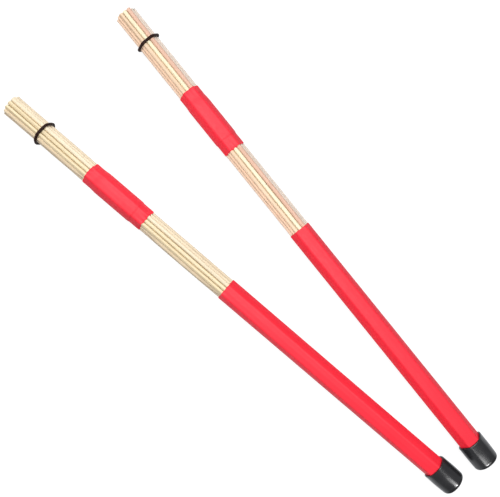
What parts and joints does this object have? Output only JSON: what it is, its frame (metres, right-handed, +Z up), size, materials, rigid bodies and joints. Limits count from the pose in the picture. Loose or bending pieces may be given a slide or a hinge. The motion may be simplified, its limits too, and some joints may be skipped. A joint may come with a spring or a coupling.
{
  "type": "pair of bundled-dowel drum rods",
  "caption": "Pair of drum rods lying in a V: hexagonal bundles of thin wooden dowels with red shrunk-on grip and band sleeves, sliding black tuning rings and soft black butt caps.",
  "frame": {"origin": "centre of the pair's box on the table they lie on", "axes": "+Z up from the table; +X to the right and +Y away, with both butts towards +X -Y and both tips towards -X +Y"},
  "size_m": [0.3377, 0.3364, 0.0182],
  "materials": {
    "left_wood": "sanded, bare, pale cream with fine straight grain",
    "right_wood": "sanded, bare, pale with peach and cream dowels mixed",
    "red_sleeve": "satin shrink sleeve",
    "binding_tape": "cloth tape, hidden under the band sleeve",
    "black_rubber": "matte elastic ring",
    "black_vinyl": "soft dip-moulded vinyl, satin"
  },
  "bodies": {
    "left_rod": {"left_dowel_centre": "left_wood", "left_dowel_inner_1": "left_wood", "left_dowel_inner_2": "left_wood", "left_dowel_inner_3": "left_wood", "left_dowel_inner_4": "left_wood", "left_dowel_inner_5": "left_wood", "left_dowel_inner_6": "left_wood", "left_dowel_outer_01": "left_wood", "left_dowel_outer_02": "left_wood", "left_dowel_outer_03": "left_wood", "left_dowel_outer_04": "left_wood", "left_dowel_outer_05": "left_wood", "left_dowel_outer_06": "left_wood", "left_dowel_outer_07": "left_wood", "left_dowel_outer_08": "left_wood", "left_dowel_outer_09": "left_wood", "left_dowel_outer_10": "left_wood", "left_dowel_outer_11": "left_wood", "left_dowel_outer_12": "left_wood", "left_grip_sleeve": "red_sleeve", "left_band_sleeve": "red_sleeve", "left_band_binding": "binding_tape", "left_end_cap": "black_vinyl"},
    "right_rod": {"right_dowel_centre": "right_wood", "right_dowel_inner_1": "right_wood", "right_dowel_inner_2": "right_wood", "right_dowel_inner_3": "right_wood", "right_dowel_inner_4": "right_wood", "right_dowel_inner_5": "right_wood", "right_dowel_inner_6": "right_wood", "right_dowel_outer_01": "right_wood", "right_dowel_outer_02": "right_wood", "right_dowel_outer_03": "right_wood", "right_dowel_outer_04": "right_wood", "right_dowel_outer_05": "right_wood", "right_dowel_outer_06": "right_wood", "right_dowel_outer_07": "right_wood", "right_dowel_outer_08": "right_wood", "right_dowel_outer_09": "right_wood", "right_dowel_outer_10": "right_wood", "right_dowel_outer_11": "right_wood", "right_dowel_outer_12": "right_wood", "right_grip_sleeve": "red_sleeve", "right_band_sleeve": "red_sleeve", "right_band_binding": "binding_tape", "right_end_cap": "black_vinyl"},
    "left_ring": {"left_tuning_ring": "black_rubber"},
    "right_ring": {"right_tuning_ring": "black_rubber"}
  },
  "joints": [
    {"name": "right_rod_lift", "type": "slide", "parent": "left_rod", "child": "right_rod", "axis": [0, 0, 1], "range_m": [0, 0.15]},
    {"name": "left_ring_slide", "type": "slide", "parent": "left_rod", "child": "left_ring", "axis": [0.7592, -0.6509, 0], "range_m": [-0.0215, 0.0382]},
    {"name": "right_ring_slide", "type": "slide", "parent": "right_rod", "child": "right_ring", "axis": [0.6248, -0.7808, 0.0012], "range_m": [-0.0172, 0.0425]}
  ]
}
